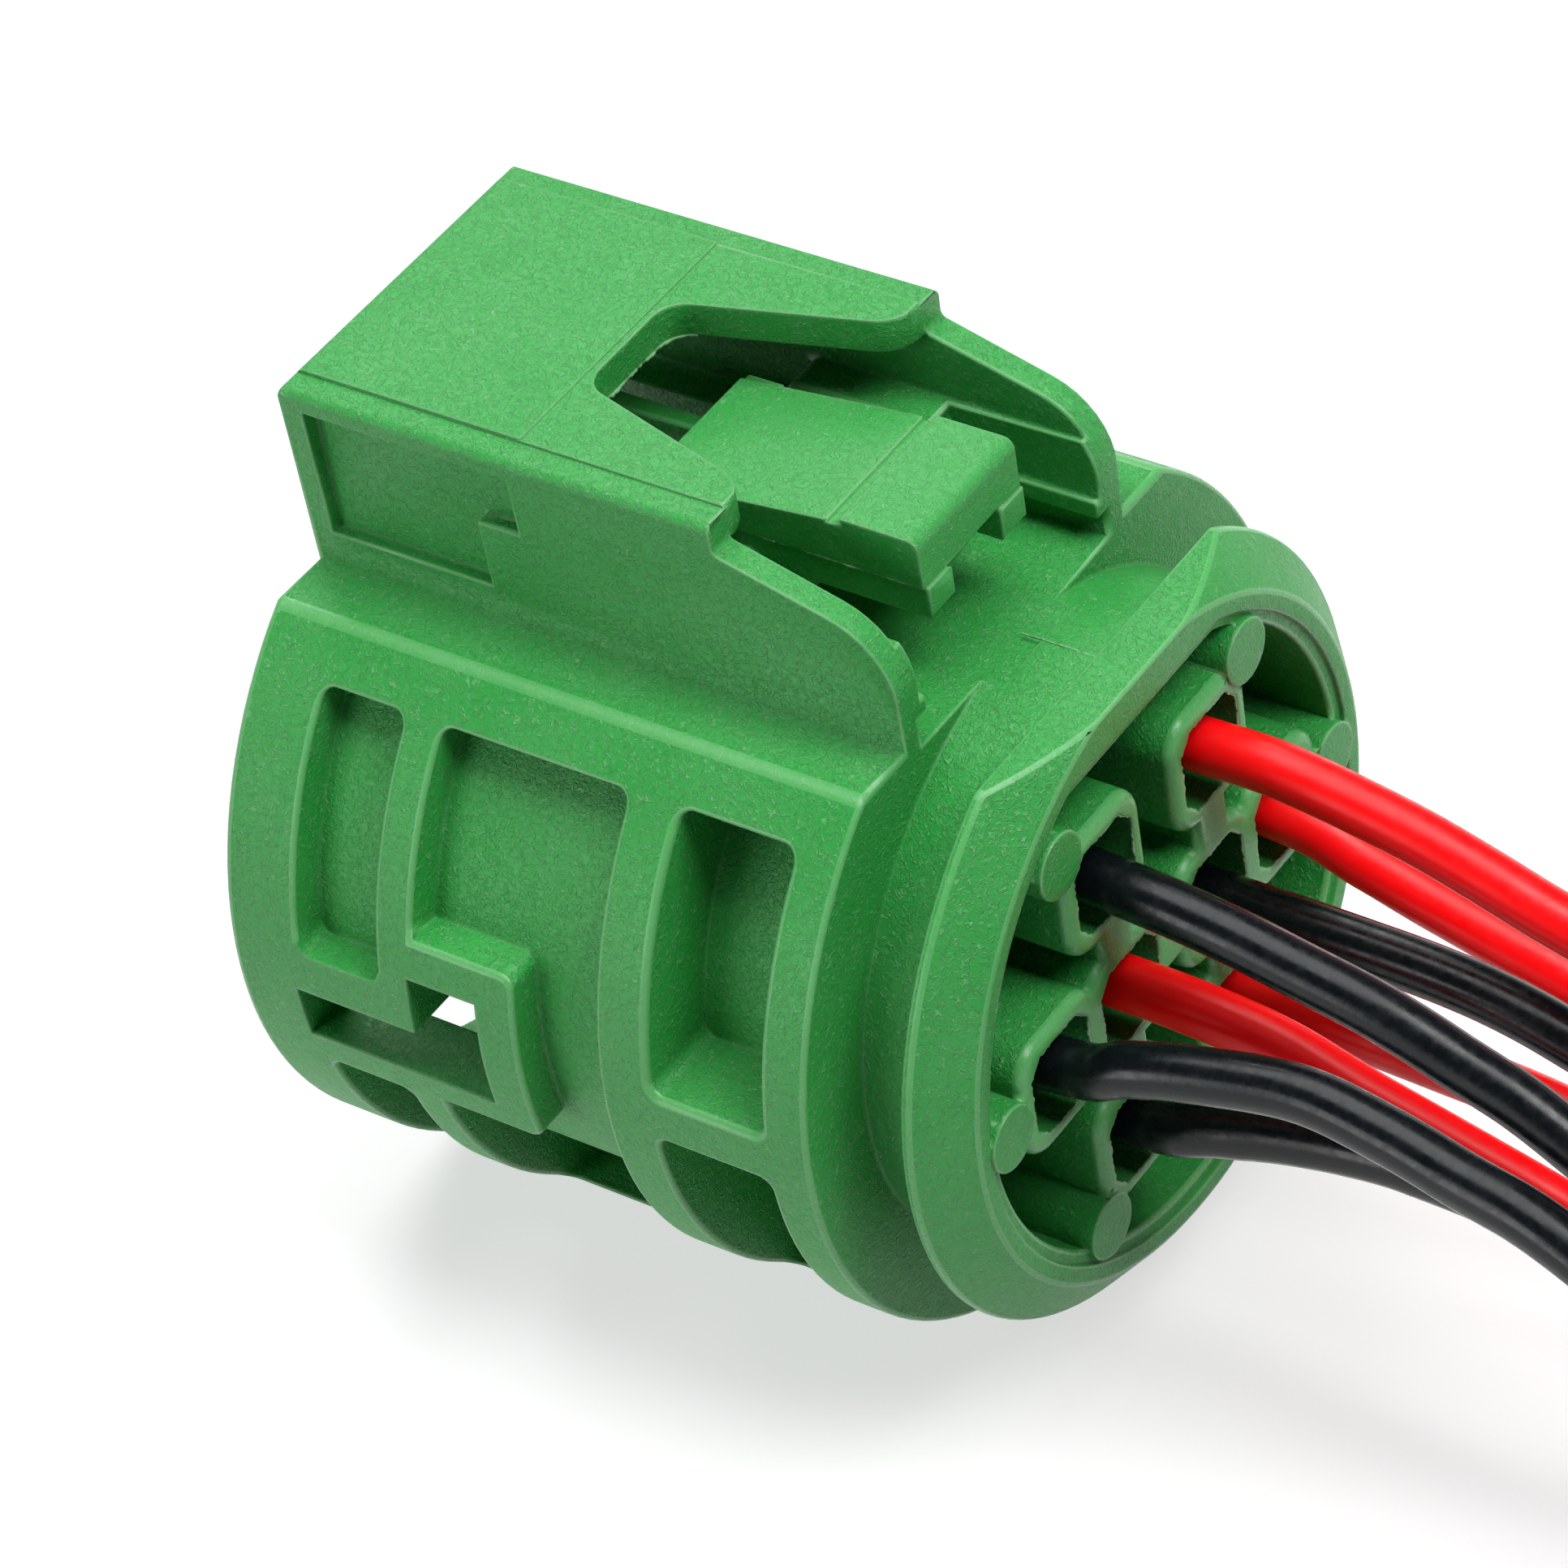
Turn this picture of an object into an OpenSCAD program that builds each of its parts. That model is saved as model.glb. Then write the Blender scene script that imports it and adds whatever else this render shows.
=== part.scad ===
// Headlight connector: a round plug housing with a hooded latch lever, its contacts and their wires.
// The x axis runs along the plug, from its front face at 0 towards the wires. The z axis points up
// through the hood, and y = 0 is the plug's plane of symmetry.

/* [Sleeve] */
// Outer radius of the sleeve
sleeve_r = 18; // [17.6:0.1:19]
// Radius of the socket inside the sleeve
socket_r = 15; // [14.6:0.1:15.3]
// Height of the flat shoulders beside the hood, above the axis
shoulder_z = 14.25; // [14:0.05:14.8]
// Height of the platform between the hood walls, above the axis
platform_z = 13.75; // [13.4:0.05:13.9]

/* [Side pockets] */
// Width of the plain rim at the front of the sleeve
front_rim = 3.6; // [3.4:0.1:5]
// Length of the front pockets
pocket_a = 4.1; // [3.6:0.1:5]
// Width of the rib between the front and middle pockets
rib_ab = 1.8; // [1.4:0.1:2.4]
// Length of the middle pockets
pocket_b = 9.1; // [8.6:0.1:10]
// Width of the rib between the middle and rear pockets
rib_bc = 2.4; // [2:0.1:3]
// Length of the rear pockets
pocket_c = 5.4; // [4.6:0.1:6]
// Width of the plain rim at the rear of the sleeve
rear_rim = 2.1; // [1.6:0.1:3]
// Radius of the curved floor of the front and middle pockets
pocket_r = 16.3; // [15.8:0.1:16.8]
// Height of the upper ends of the pockets
pocket_top = 12.5; // [12:0.1:13]
// Height of the lower ends of the pockets
pocket_bottom = -13.95; // [-14.4:0.05:-13.4]
// Height below which the front and middle pockets open into the socket
slot_top = -7.2; // [-8.5:0.1:-6]
// Radius of the corners of the pockets
pocket_corner = 0.6; // [0.3:0.1:1]
// Height of the lower edge of the bar between the front pockets
front_bar_low = -4.35; // [-5:0.05:-3.6]
// Height of the upper edge of the bar between the front pockets
front_bar_high = 1.95; // [1:0.05:3]
// Height of the lower edge of the bar between the rear pockets
rear_bar_low = -0.85; // [-2:0.05:0]
// Height of the upper edge of the bar between the rear pockets
rear_bar_high = 1.45; // [0.8:0.05:3]
// Height of the lower edge of the raised block in the middle pocket
block_low = -4.15; // [-5:0.05:-3.6]
// Height of the upper edge of the raised block in the middle pocket
block_high = 4.6; // [3.8:0.05:6]
// Length of the raised block in the middle pocket
block_len = 5; // [4.6:0.1:6]

/* [Coding window] */
// Front end of the window through the side of the sleeve
window_x = 3.2; // [2.6:0.1:3.4]
// Length of the window's low bar
window_len = 9.4; // [8.8:0.1:9.8]
// Length of the window's raised end
window_end = 3.4; // [2.6:0.1:3.8]
// Height of the window's lower edge
window_low = -2.65; // [-3:0.05:-2]
// Height of the step in the window's upper edge
window_step = 0; // [-0.6:0.05:0.6]
// Height of the window's upper edge
window_high = 2.8; // [2:0.05:3.4]

/* [Hood] */
// Half width of the hood across its top edges
hood_half = 8.2; // [8:0.05:8.6]
// Draft of each hood wall, from its top to its foot
hood_draft = 0.28; // [0:0.02:0.4]
// Thickness of the hood's walls at the top
hood_wall = 1.3; // [1.1:0.05:1.5]
// Height of the hood's top above the axis
hood_z = 23.1; // [22.6:0.1:25]
// Thickness of the hood's top plate
hood_plate = 1.65; // [1.2:0.05:2]
// Length of the hood's top
hood_len = 20.8; // [20:0.1:22]
// Drop from the hood's top to the start of the rear fins
fin_drop = 1.52; // [1:0.02:2]
// Slope of the top of the fins, in degrees
fin_slope = 15.5; // [10:0.5:18]
// Radius of the fins' rear corners
fin_r = 3.6; // [2:0.1:4]
// Front edge of the thumb notch in the hood's top
notch_x = 11.4; // [10:0.1:12.5]
// Half width of the thumb notch at its front edge
notch_half = 2.84; // [2.4:0.02:3.4]
// Flare of the thumb notch's sides, in degrees
notch_flare = 15.5; // [12:0.5:17]
// Radius of the notch's front corners
notch_r = 1.3; // [0.6:0.1:1.8]
// Radius of the tips beside the notch
notch_tip_r = 1.7; // [0.8:0.1:1.8]
// Depth of the recessed panel in each hood wall
panel_depth = 0.5; // [0.2:0.05:0.6]
// Distance of the recessed panel from the front face
panel_x = 1.1; // [0.8:0.1:2]
// Length of the recessed panel along its top
panel_len = 9.9; // [8:0.1:12]
// Length of the panel's short end
panel_end = 1.9; // [1:0.1:3]
// Height of the panel's lower edge above the shoulder
panel_rise = 1.6; // [1:0.1:2.4]
// Height of the panel above its lower edge
panel_h = 6.15; // [5:0.05:6.6]
// Height of the panel's short end
panel_end_h = 2.8; // [2:0.05:4]
// Height of the low rails inside the hood
low_rail_z = 15.95; // [15:0.05:16.5]
// Half width between the low rails
low_rail_in = 5.2; // [4.8:0.05:6]
// Height of the bearing blocks that carry the lever
bearing_z = 18.6; // [18.4:0.05:19]
// Length of the bearing blocks
bearing_len = 7.3; // [5:0.1:8]
// How far each ledge stands out from the fin or the ledge above it
fin_rail = 0.32; // [0.2:0.02:0.5]

/* [Neck and rear ring] */
// Radius of the neck
neck_r = 14; // [13.8:0.05:14.1]
// Length of the neck between sleeve and ring
neck_len = 3.5; // [3:0.1:5]
// Outer radius of the rear ring
ring_r = 16.6; // [16:0.1:17.5]
// Width of the ring's plain rim
ring_land = 0.4; // [0.2:0.1:0.8]
// Radius at the rear end of the ring's cone
ring_rear_r = 14.5; // [14.3:0.1:15.2]
// Length of the ring
ring_len = 2.2; // [1.8:0.1:3]
// Height of the flat across the top of the ring
ring_flat_z = 14.15; // [14.1:0.05:15]
// Radius of the hollow behind the contact block
recess_r = 13.1; // [12.8:0.05:13.3]
// Height of the flat top of the hollow
recess_flat_z = 11.95; // [11.6:0.05:12.2]
// Depth of the hollow
recess_depth = 10.2; // [8:0.1:12]
// Width of the shallow step round the mouth of the hollow
mouth_step = 0.6; // [0.3:0.05:0.8]
// Depth of the shallow step round the mouth of the hollow
mouth_depth = 0.25; // [0.1:0.05:0.5]

/* [Contact cells] */
// Width of each contact cavity
cavity_w = 4.2; // [4.1:0.05:4.4]
// Thickness of the cell walls
cell_wall = 0.75; // [0.6:0.05:0.85]
// Radius of the outer corners of a cell
cell_corner = 1.5; // [1:0.1:1.7]
// Chamfer of the cavity's corners
cavity_chamfer = 0.8; // [0.4:0.05:1]
// Sideways place of the upper and lower cells
row_y = 4; // [3.9:0.05:4.3]
// Height of the upper and lower cells
row_z = 6.85; // [6.7:0.05:7.2]
// Sideways place of the inner cells of the middle row
inner_y = 3.3; // [3.2:0.05:3.6]
// Sideways place of the outer cells of the middle row
outer_y = 8.5; // [8.3:0.05:8.7]
// Width of the webs between the rows
web_w = 2.3; // [1.6:0.1:3]
// Radius of the round pads that tie the cells to the ring
pad_r = 1.45; // [1.2:0.05:1.6]
// Sideways place of the pads beside the upper and lower cells
pad_y = 6.95; // [6.8:0.05:7.2]
// Height of the pads beside the upper and lower cells
pad_z = 9.85; // [9.7:0.05:10]
// Sideways place of the pads beside the middle row
side_pad_y = 12.4; // [12.2:0.05:12.6]
// Distance of the nose's front face from the plug's front face
nose_x = 2.5; // [1.5:0.1:4]
// Thickness of the nose's front wall
nose_wall = 1.2; // [0.8:0.1:1.6]
// Width of the holes for the mating pins
pin_hole = 2.4; // [1.8:0.1:2.8]

/* [Latch lever] */
// Place of the lever's pivot along the plug
pivot_x = 18.6; // [18.2:0.1:19]
// Height of the lever's pivot
pivot_z = 17; // [16.9:0.05:17.2]
// Radius of the lever's trunnions
trunnion_r = 0.75; // [0.6:0.05:0.9]
// Length of each trunnion inside its bearing
trunnion_len = 1.3; // [1:0.1:1.6]
// Clearance round the trunnions
trunnion_gap = 0.05; // [0.03:0.01:0.08]
// Gap between the lever and the bearing blocks
lever_gap = 1.45; // [0.6:0.05:1.5]
// Half width of the lever's plate
lever_half = 3.5; // [3.3:0.05:3.6]
// Front edge of the lever's plate
lever_front = 13.9; // [13.4:0.1:14.4]
// Rear edge of the lever's plate
lever_rear = 27; // [26:0.1:28]
// Height of the plate's underside
plate_z = 18.5; // [18.4:0.05:18.7]
// Height of the plate's top at its front edge
plate_front_z = 19.55; // [19.3:0.05:19.8]
// Height of the plate's top at the groove
plate_rear_z = 20.5; // [20.1:0.05:20.7]
// Place of the groove in front of the press pad
groove_x = 22.8; // [22:0.1:23.4]
// Width of the groove
groove_w = 0.55; // [0.3:0.05:0.8]
// Height of the press pad
press_z = 20.75; // [20.5:0.05:21]
// Height of the lever's rails below the plate
rail_h = 1.55; // [1.2:0.05:1.7]
// Thickness of the rails
rail_w = 1.67; // [1.2:0.05:2]
// How far the rails are set in from the plate's sides
rail_inset = 0.08; // [0:0.02:0.2]
// Front end of the latch hook
hook_x = 4.6; // [3:0.1:6]
// Length of the latch hook
hook_len = 1.7; // [1.4:0.1:2.4]
// Length of the flat under the latch hook
hook_flat = 0.5; // [0.3:0.1:0.8]
// How far the hook hangs below its arms
hook_drop = 1.1; // [0.8:0.1:1.2]
// Width of the arms that carry the hook
arm_w = 0.8; // [0.5:0.05:1.2]
// Height of the arms that carry the hook
arm_h = 1.1; // [0.8:0.05:1.2]

/* [Contacts] */
// Gap between a contact and its cavity
contact_gap = 0.15; // [0.1:0.01:0.2]
// Thickness of the contact's sheet metal
contact_t = 0.35; // [0.25:0.05:0.4]
// Length of the contact's box
box_len = 9; // [8:0.1:10]
// Distance from the box to the crimp barrel
throat_len = 2.6; // [2:0.1:4]
// Width of the throat
throat_w = 2.3; // [1.8:0.1:2.6]
// Height of the throat's side walls
throat_h = 1.75; // [1.2:0.05:2]
// Length of the crimp barrel
crimp_len = 6.5; // [5:0.1:7]
// Wall of the crimp barrel
crimp_t = 0.4; // [0.3:0.05:0.45]
// Gap between a wire and its crimp barrel
crimp_gap = 0.05; // [0.03:0.01:0.1]

/* [Wires] */
// Outer diameter of a wire
wire_d = 2.3; // [2:0.05:2.6]
// Diameter of the bare conductor
copper_d = 1.5; // [1.2:0.05:1.7]
// Length of the stripped end
strip_len = 6; // [4:0.5:10]

/* [Hidden] */
$fn = 96;
// How far cuts run past a face and joined pieces run into each other
over = 1;
// Facets in a rounded corner
corner_steps = 8;

// Places along the plug
a_x0 = front_rim;
a_x1 = a_x0 + pocket_a;
b_x0 = a_x1 + rib_ab;
b_x1 = b_x0 + pocket_b;
c_x0 = b_x1 + rib_bc;
c_x1 = c_x0 + pocket_c;
sleeve_len = c_x1 + rear_rim;
socket_depth = b_x1 + rib_bc / 4;
ring_x0 = sleeve_len + neck_len;
ring_x1 = ring_x0 + ring_len;
recess_x = ring_x1 - recess_depth;
pad_proud = 0.15;

// Hood
hood_in = hood_half - hood_wall;
hood_foot_z = platform_z - over;
tunnel_z = hood_z - hood_plate;
fin_z = hood_z - fin_drop;
fin_end_z = fin_z - (sleeve_len - hood_len) * tan(fin_slope);
notch_tip_y = notch_half + (hood_len - notch_x) * tan(notch_flare);
step_r = 0.35;
top_edge_r = 0.4;
panel_z = shoulder_z + panel_rise;
front_edge_r = 0.5;
strip_z = hood_z - 0.18;
top_step_x = notch_x - 0.3;
top_step = 0.06;
fin_rail_h = 0.95;
bearing_in = lever_half + lever_gap;
bearing_x0 = pivot_x - bearing_len / 2;
bearing_x1 = pivot_x + bearing_len / 2;

// Lever
lever_rail_z = plate_z - rail_h;
lever_rail_out = lever_half - rail_inset;
lug_r = trunnion_r + 0.5;
foot_proud = 0.2;
groove_depth = 0.14;
trunnion_end = 0.5;
press_edge_r = 0.5;
arm_drop = 0.05;
arm_top_z = lever_rail_z - arm_drop;
arm_z = arm_top_z - arm_h;
arm_root_x = pivot_x - lug_r;
ear_set = 0.2;
ear_len = 1.7;
ear_w = 0.4;
ear_h = 0.6;

// Contacts: the front stop is the nose's front wall
contact_x = nose_x + nose_wall + contact_gap;
contact_w = cavity_w - 2 * contact_gap;
// How much a chamfer shortens for each unit that its outline is set in
chamfer_share = 2 - sqrt(2);
contact_chamfer = cavity_chamfer - chamfer_share * contact_gap;
crimp_x0 = contact_x + box_len + throat_len;
crimp_x1 = crimp_x0 + crimp_len;
crimp_in = wire_d / 2 + crimp_gap;
seam_w = 0.2;

// Wires start inside the crimp barrels and run straight past them
wire_x = crimp_x0 + over;
wire_straight_x = crimp_x1 + over;
wire_sides = 10;
// Pieces between two points of a route
wire_steps = 3;

// Cell places as [y, z], in the order of the wires
cells = [
    [row_y, row_z], [outer_y, 0], [inner_y, 0], [-row_y, row_z],
    [-inner_y, 0], [row_y, -row_z], [-outer_y, 0], [-row_y, -row_z]
];
wire_is_red = [true, true, false, false, true, true, false, false];

// Routes of the wires from the rear of the cells, along the bundle and down to the surface below
routes = [
    [[34.2, 4, 7.1], [38, 4, 7], [42.8, 4, 6.1], [46.1, 4, 5.1], [48.9, 4, 4.1], [55, 4.4, 1.5],
        [64, 5.4, -4.2], [74, 6.8, -11], [84, 7.8, -15.6], [94, 8, -16.7], [104, 8, -16.7]],
    [[34.2, 8.5, -0.2], [37.7, 8.5, -1.2], [40.7, 8.5, -2.2], [44.1, 8.5, -3.2], [47.5, 8.6, -4.3],
        [55, 9, -7.4], [64, 9.8, -11], [74, 10.7, -14.4], [84, 11.2, -16.3], [93, 11.2, -16.7],
        [102, 11.2, -16.7]],
    [[34.2, 3.3, -0.4], [39, 3.3, -0.4], [45.3, 3.3, -0.6], [50, 3.2, -1.5], [56, 3, -3.8],
        [65, 2.5, -8.3], [75, 1.9, -13.1], [85, 1.6, -16.1], [94, 1.6, -16.7], [103, 1.6, -16.7]],
    [[34.2, -4, 6.5], [39.2, -4, 6], [42.7, -4, 5.3], [46.2, -4, 4.5], [49.7, -4, 3.2], [54.2, -4.2, 1.4],
        [64, -5.2, -4], [74, -6.7, -10.6], [84, -7.7, -15.4], [94, -8, -16.7], [105, -8, -16.7]],
    [[34.2, -3.3, 0.4], [40.4, -3.3, 0], [44.7, -3.3, -1.3], [49.6, -3.2, -2.8], [54, -3, -4.4],
        [63, -2.4, -8.4], [73, -1.9, -12.8], [84, -1.6, -16.1], [94, -1.6, -16.7], [105, -1.6, -16.7]],
    [[34.2, 4, -6.6], [38, 4, -6.2], [44, 4, -6.4], [49, 4, -6.8], [56, 4.2, -8.4], [65, 4.6, -11.6],
        [75, 4.8, -14.9], [85, 4.8, -16.5], [94, 4.8, -16.7], [104, 4.8, -16.7]],
    [[34.2, -8.45, 0.45], [37, -8.2, 1.2], [39.5, -7.75, 1.65], [44, -7, 1.9], [47.7, -7, 1.4],
        [51.3, -7.3, 0.7], [56, -7.9, -0.1], [64, -9, -3.8], [74, -10.3, -10.2], [84, -11, -15.2],
        [94, -11.2, -16.7], [103, -11.2, -16.7]],
    [[34.2, -3.9, -6.6], [37.5, -3.4, -6.15], [40.2, -2.85, -5.8], [43.3, -2.4, -5.6], [46.4, -2.3, -5.5],
        [51.4, -2.6, -5.8], [58, -3.4, -8.6], [66, -4.4, -12.4], [74, -4.8, -15.2], [83, -4.8, -16.6],
        [92, -4.8, -16.7], [102, -4.8, -16.7]]
];

green = [0.27, 0.62, 0.33];
lever_green = [0.25, 0.6, 0.31];
tin = [0.75, 0.74, 0.7];
copper = [0.8, 0.5, 0.32];
red = [0.85, 0.05, 0.06];
black = [0.08, 0.09, 0.1];

function unit(v) = v / norm(v);

// Points of the arc of radius r that rounds the corner b on the way from a to c
function corner(a, b, c, r) =
    r == 0 ? [b] :
    let (u = unit(a - b), v = unit(c - b), half = acos(u * v) / 2,
        centre = b + unit(u + v) * r / sin(half),
        start = b + u * r / tan(half) - centre, end = b + v * r / tan(half) - centre,
        a0 = atan2(start.y, start.x), sweep = sign(cross(start, end)) * (180 - 2 * half))
    [for (i = [0:corner_steps]) let (a = a0 + sweep * i / corner_steps)
        centre + r * [cos(a), sin(a)]];

// Outline through points [u, v, corner radius]
function rounded(points) =
    let (n = len(points), xy = [for (p = points) [p[0], p[1]]])
    [for (i = [0:n - 1]) each corner(xy[(i + n - 1) % n], xy[i], xy[(i + 1) % n], points[i][2])];

// Rectangle between two corners with rounded corners
module round_box(p, q, r) {
    translate([p.x + r, p.y]) square([q.x - p.x - 2 * r, q.y - p.y]);
    translate([p.x, p.y + r]) square([q.x - p.x, q.y - p.y - 2 * r]);
    for (x = [p.x + r, q.x - r], y = [p.y + r, q.y - r]) translate([x, y]) circle(r = r, $fn = 32);
}

// Square with chamfered corners
module chamfered(w, cut) difference() {
    square(w, center = true);
    for (turn = [0:90:270]) rotate(turn) translate([w / 2, w / 2]) rotate(45)
        square([cut * sqrt(2), 2 * cut], center = true);
}

// Extrude an outline drawn in y and z along the plug
module along_x(x0, x1) translate([x0, 0, 0]) rotate([90, 0, 90]) linear_extrude(x1 - x0) children();

// Extrude an outline drawn in x and z across the plug
module across_y(y0, y1) translate([0, y1, 0]) rotate([90, 0, 0]) linear_extrude(y1 - y0) children();

// Cylinder along the plug's axis
module round_x(r, x0, x1) translate([x0, 0, 0]) rotate([0, 90, 0]) cylinder(r = r, h = x1 - x0);

// Cylinder across the plug
module round_y(r, x, z, y0, y1)
    translate([x, y1, z]) rotate([90, 0, 0]) cylinder(r = r, h = y1 - y0, $fn = 48);

module both_sides() {
    children();
    mirror([0, 1, 0]) children();
}

module both_ends() {
    children();
    mirror([1, 0]) children();
}

// Everything of the drawing plane above a level line
module above(v) translate([-2 * sleeve_r, v]) square([4 * sleeve_r, 4 * sleeve_r]);

module sleeve() {
    along_x(0, sleeve_len) difference() {
        circle(r = sleeve_r);
        above(shoulder_z);
    }
    round_x(neck_r, sleeve_len - over, ring_x0 + over);
}

// The hood's top with a lower strip along each side, and the fins that run on behind it
module hood() intersection() {
    along_x(0, sleeve_len) polygon(rounded([
        [hood_half - hood_draft, hood_foot_z, 0], [hood_half, strip_z, top_edge_r], [hood_in, strip_z, 0],
        [hood_in, hood_z, 0], [-hood_in, hood_z, 0],
        [-hood_in, strip_z, 0], [-hood_half, strip_z, top_edge_r], [hood_draft - hood_half, hood_foot_z, 0]
    ]));
    across_y(-hood_half - over, hood_half + over) polygon(rounded([
        [0, hood_foot_z, 0], [sleeve_len, hood_foot_z, 0], [sleeve_len, fin_end_z, fin_r],
        [hood_len, fin_z, step_r], [hood_len, hood_z, step_r], [0, hood_z, front_edge_r]
    ]));
}

module rear_ring() difference() {
    translate([ring_x0, 0, 0]) rotate([0, 90, 0]) rotate_extrude() polygon([
        [0, 0], [ring_r, 0], [ring_r, ring_land], [ring_rear_r, ring_len], [0, ring_len]
    ]);
    along_x(ring_x0 - over, ring_x1 + over) above(ring_flat_z);
}

// The hollow under the hood: low rails in front, bearing blocks beside the lever, two ledges on the fins
module tunnel() {
    along_x(-over, bearing_x0) {
        translate([-low_rail_in, platform_z]) square([2 * low_rail_in, tunnel_z - platform_z]);
        translate([-hood_in, low_rail_z]) square([2 * hood_in, tunnel_z - low_rail_z]);
    }
    along_x(bearing_x0 - over / 2, bearing_x1) {
        translate([-bearing_in, platform_z]) square([2 * bearing_in, tunnel_z - platform_z]);
        translate([-hood_in, bearing_z]) square([2 * hood_in, tunnel_z - bearing_z]);
    }
    along_x(bearing_x1 - over / 2, sleeve_len + over) difference() {
        translate([-hood_in, platform_z]) square([2 * hood_in, tunnel_z - platform_z]);
        both_ends() translate([hood_in, low_rail_z - fin_rail_h]) {
            translate([-fin_rail, 0]) square([over, bearing_z - low_rail_z + fin_rail_h]);
            translate([-2 * fin_rail, 0]) square([over, fin_rail_h]);
        }
    }
}

module thumb_notch() translate([0, 0, tunnel_z - over]) linear_extrude(hood_plate + 2 * over)
    polygon(rounded([
        [notch_x, -notch_half, notch_r], [hood_len, -notch_tip_y, notch_tip_r], [hood_len, -hood_in, 0],
        [sleeve_len + over, -hood_in, 0], [sleeve_len + over, hood_in, 0],
        [hood_len, hood_in, 0], [hood_len, notch_tip_y, notch_tip_r], [notch_x, notch_half, notch_r]
    ]));

// Fine step across the hood's top, where the mould is split
module split_step() translate([top_step_x, -hood_in, hood_z - top_step]) cube([hood_len, 2 * hood_in, over]);

module wall_panel() across_y(hood_half - hood_draft - panel_depth, hood_half + over)
    translate([panel_x, panel_z]) difference() {
        square([panel_len, panel_h]);
        translate([panel_len - panel_end, -over]) square([panel_len, panel_h - panel_end_h + over]);
    }

// Pockets of the sleeve's side, which leave the rims, the ribs and the raised block
module side_pockets() {
    difference() {
        across_y(0, sleeve_r + over) {
            round_box([a_x0, front_bar_high], [a_x1, pocket_top], pocket_corner);
            round_box([a_x0, pocket_bottom], [a_x1, front_bar_low], pocket_corner);
            difference() {
                round_box([b_x0, pocket_bottom], [b_x1, pocket_top], pocket_corner);
                round_box([b_x0 - over, block_low], [b_x0 + block_len, block_high], pocket_corner);
            }
        }
        round_x(pocket_r, 0, sleeve_len);
    }
    difference() {
        across_y(0, sleeve_r + over) {
            round_box([c_x0, rear_bar_high], [c_x1, pocket_top], pocket_corner);
            round_box([c_x0, pocket_bottom], [c_x1, rear_bar_low], pocket_corner);
        }
        round_x(neck_r, 0, sleeve_len);
    }
    across_y(over, sleeve_r) for (x = [[a_x0, a_x1], [b_x0, b_x1]])
        round_box([x[0], pocket_bottom], [x[1], slot_top], pocket_corner);
}

module coding_window() across_y(over, sleeve_r + over) translate([window_x, window_low]) difference() {
    square([window_len, window_high - window_low]);
    translate([-over, window_step - window_low]) square([window_len - window_end + over, sleeve_r]);
}

// The hollow in the ring, round with a flat top, and the shallow step round its mouth
module recess() {
    along_x(recess_x, ring_x1 + over) difference() {
        circle(r = recess_r);
        above(recess_flat_z);
    }
    along_x(ring_x1 - mouth_depth, ring_x1 + over) difference() {
        circle(r = recess_r + mouth_step);
        above(recess_flat_z + mouth_step);
    }
}

// Section of the cells with the webs that join them
module cell_section() {
    half = cavity_w / 2 + cell_wall;
    for (c = cells) round_box(c - [half, half], c + [half, half], cell_corner);
    both_ends() for (side = [-1, 1])
        translate([(row_y + inner_y) / 2 - web_w / 2, side > 0 ? 0 : -row_z]) square([web_w, row_z]);
    translate([-inner_y, -web_w / 2]) square([2 * inner_y, web_w]);
}

// Round pads that tie the cells to the ring
module pad_section() both_ends() {
    translate([side_pad_y, 0]) circle(r = pad_r, $fn = 48);
    for (z = [-pad_z, pad_z]) translate([pad_y, z]) circle(r = pad_r, $fn = 48);
}

module cavities() for (c = cells) {
    along_x(nose_x + nose_wall, ring_x1 + over) translate(c) chamfered(cavity_w, cavity_chamfer);
    along_x(nose_x - over, nose_x + nose_wall + over) translate(c) square(pin_hole, center = true);
}

module housing() color(green) difference() {
    union() {
        difference() {
            union() {
                sleeve();
                hood();
                rear_ring();
            }
            round_x(socket_r, -over, socket_depth);
            tunnel();
            thumb_notch();
            split_step();
            recess();
            both_sides() {
                side_pockets();
                coding_window();
                wall_panel();
            }
        }
        along_x(nose_x, socket_depth + over) cell_section();
        along_x(recess_x - over, ring_x1) cell_section();
        along_x(recess_x - over, ring_x1 + pad_proud) pad_section();
    }
    cavities();
    both_sides() round_y(trunnion_r + trunnion_gap, pivot_x, pivot_z, bearing_in - over,
        bearing_in + trunnion_len + trunnion_end);
}

// Side view of the lever's plate with its groove and press pad
module lever_plate() across_y(-lever_half, lever_half) polygon(rounded([
    [lever_front, plate_z, 0], [lever_rear, plate_z, 0], [lever_rear, press_z, press_edge_r],
    [groove_x + groove_w, press_z, 0], [groove_x + groove_w, plate_rear_z - groove_depth, 0],
    [groove_x, plate_rear_z - groove_depth, 0], [groove_x, plate_rear_z, 0], [lever_front, plate_front_z, 0]
]));

module lever_rail() {
    across_y(lever_rail_out - rail_w, lever_rail_out) {
        polygon([
            [lever_front, lever_rail_z], [lever_rear + foot_proud, lever_rail_z],
            [lever_rear + foot_proud, plate_z], [lever_rear, plate_z],
            [lever_rear, plate_z + over / 2], [lever_front, plate_z + over / 2]
        ]);
        translate([pivot_x, pivot_z]) circle(r = lug_r, $fn = 48);
    }
    across_y(lever_rail_out - arm_w, lever_rail_out) polygon([
        [hook_x, arm_z], [pivot_x, arm_z], [pivot_x, plate_z], [arm_root_x, plate_z],
        [arm_root_x - over, arm_top_z], [hook_x, arm_top_z]
    ]);
    round_y(trunnion_r, pivot_x, pivot_z, lever_rail_out - rail_w, bearing_in + trunnion_len);
    translate([lever_front + ear_set, lever_half - over, plate_front_z - ear_h])
        cube([ear_len, ear_w + over, ear_h]);
}

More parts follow.
